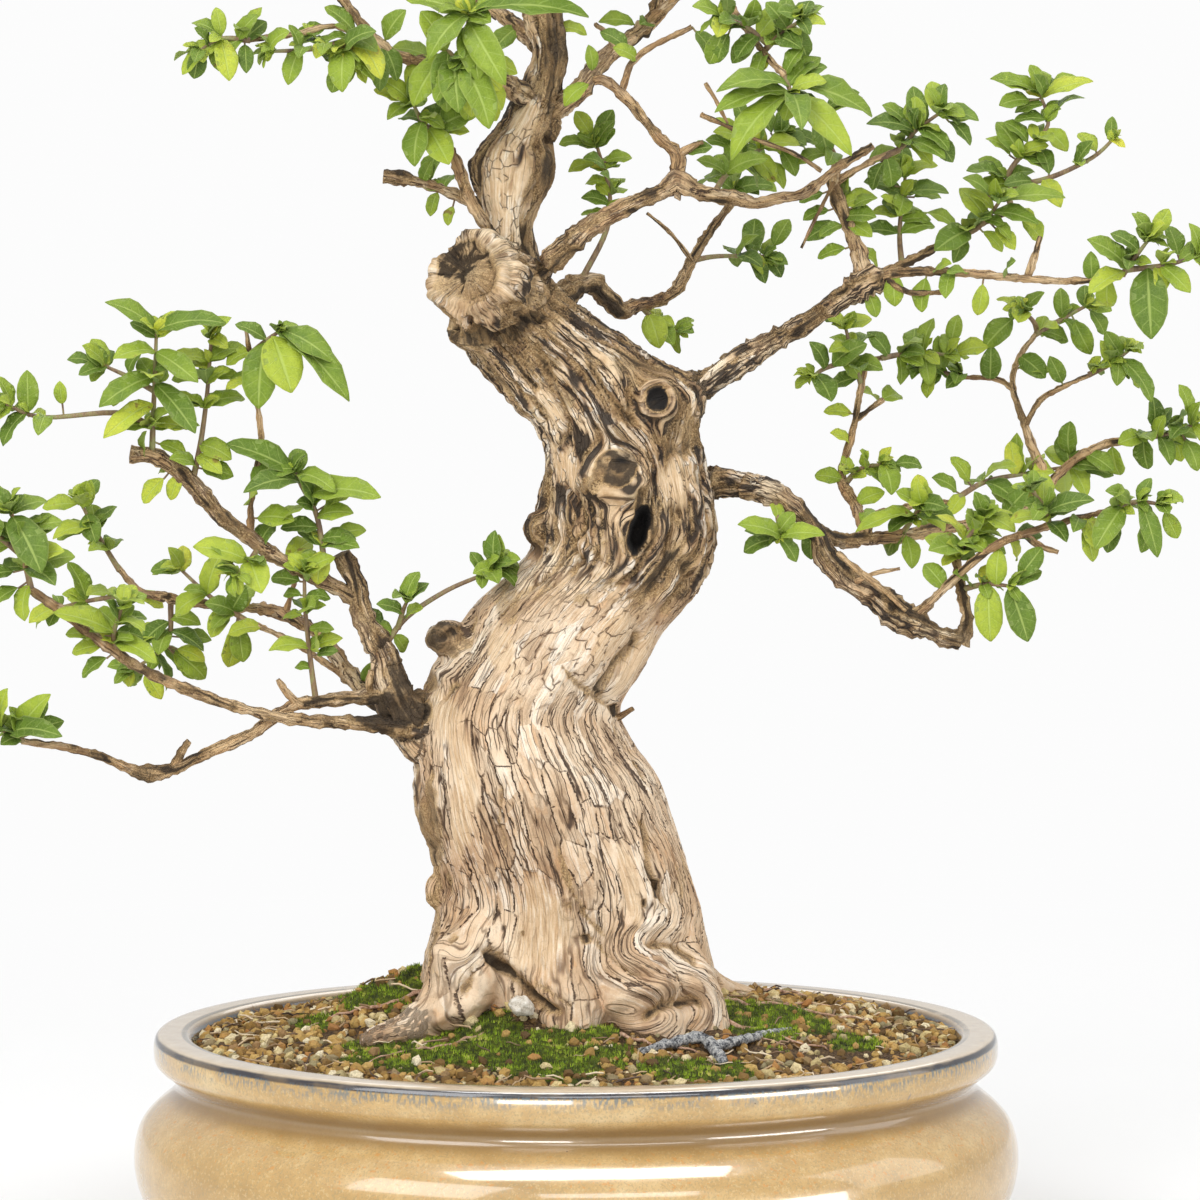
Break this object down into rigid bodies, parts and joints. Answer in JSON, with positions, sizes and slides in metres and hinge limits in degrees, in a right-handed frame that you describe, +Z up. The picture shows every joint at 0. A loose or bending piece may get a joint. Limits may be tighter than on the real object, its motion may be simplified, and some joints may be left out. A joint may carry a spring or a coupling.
{
  "type": "japanese honeysuckle bonsai",
  "caption": "Old honeysuckle bonsai with a thick fissured trunk, a cut stub and long leafy shoots, in an oval glazed pot.",
  "frame": {"origin": "middle of the underside of the whole object's box, on the surface that the pot stands on", "axes": "+Z up, the front of the tree faces -Y, the long side of the oval pot lies along X"},
  "size_m": [0.565, 0.3216, 0.6827],
  "materials": {
    "glaze": "glossy ochre glaze",
    "bark": "rough fissured bark",
    "deadwood": "dry dead wood",
    "soil": "loose gravelly soil",
    "stone": "matt",
    "leaf": "soft green leaf",
    "moss": "soft green moss"
  },
  "bodies": {
    "root": {"pot": "glaze", "soil": "soil", "trunk": "bark", "stone_white": "stone", "dead_root": "deadwood", "left_tip": "leaf", "left_second": "leaf", "left_third": "leaf", "left_fourth": "leaf", "left_under": "leaf", "left_upright": "leaf", "low_left": "leaf", "far_left": "leaf", "bottom_left": "leaf", "left_back_high": "leaf", "left_back_far": "leaf", "left_back_near": "leaf", "left_back_low": "leaf", "high_left_tip": "leaf", "high_left_mid": "leaf", "high_left_big": "leaf", "high_left_low": "leaf", "leader_left": "leaf", "leader_right": "leaf", "whorl": "leaf", "whorl_upper": "leaf", "arm_back": "leaf", "right_high": "leaf", "right_second": "leaf", "right_third": "leaf", "right_fourth": "leaf", "right_end": "leaf", "behind_low": "leaf", "behind_far": "leaf", "behind_high": "leaf", "rise_top": "leaf", "rise_side": "leaf", "rise_low": "leaf", "rise_back": "leaf", "far_rise_left": "leaf", "far_rise_top": "leaf", "far_rise_right": "leaf", "far_rise_end": "leaf", "elbow_inner": "leaf", "elbow_mid": "leaf", "elbow_hang": "leaf", "elbow_outer": "leaf", "elbow_end": "leaf", "trunk_front": "leaf", "trunk_left": "leaf", "crown_top": "leaf", "crown_back": "leaf", "crown_back_left": "leaf", "crown_right": "leaf", "crown_left": "leaf", "crown_front": "leaf", "crown_back_right": "leaf", "crown_fork": "leaf", "crown_high_left": "leaf"}
  },
  "joints": []
}
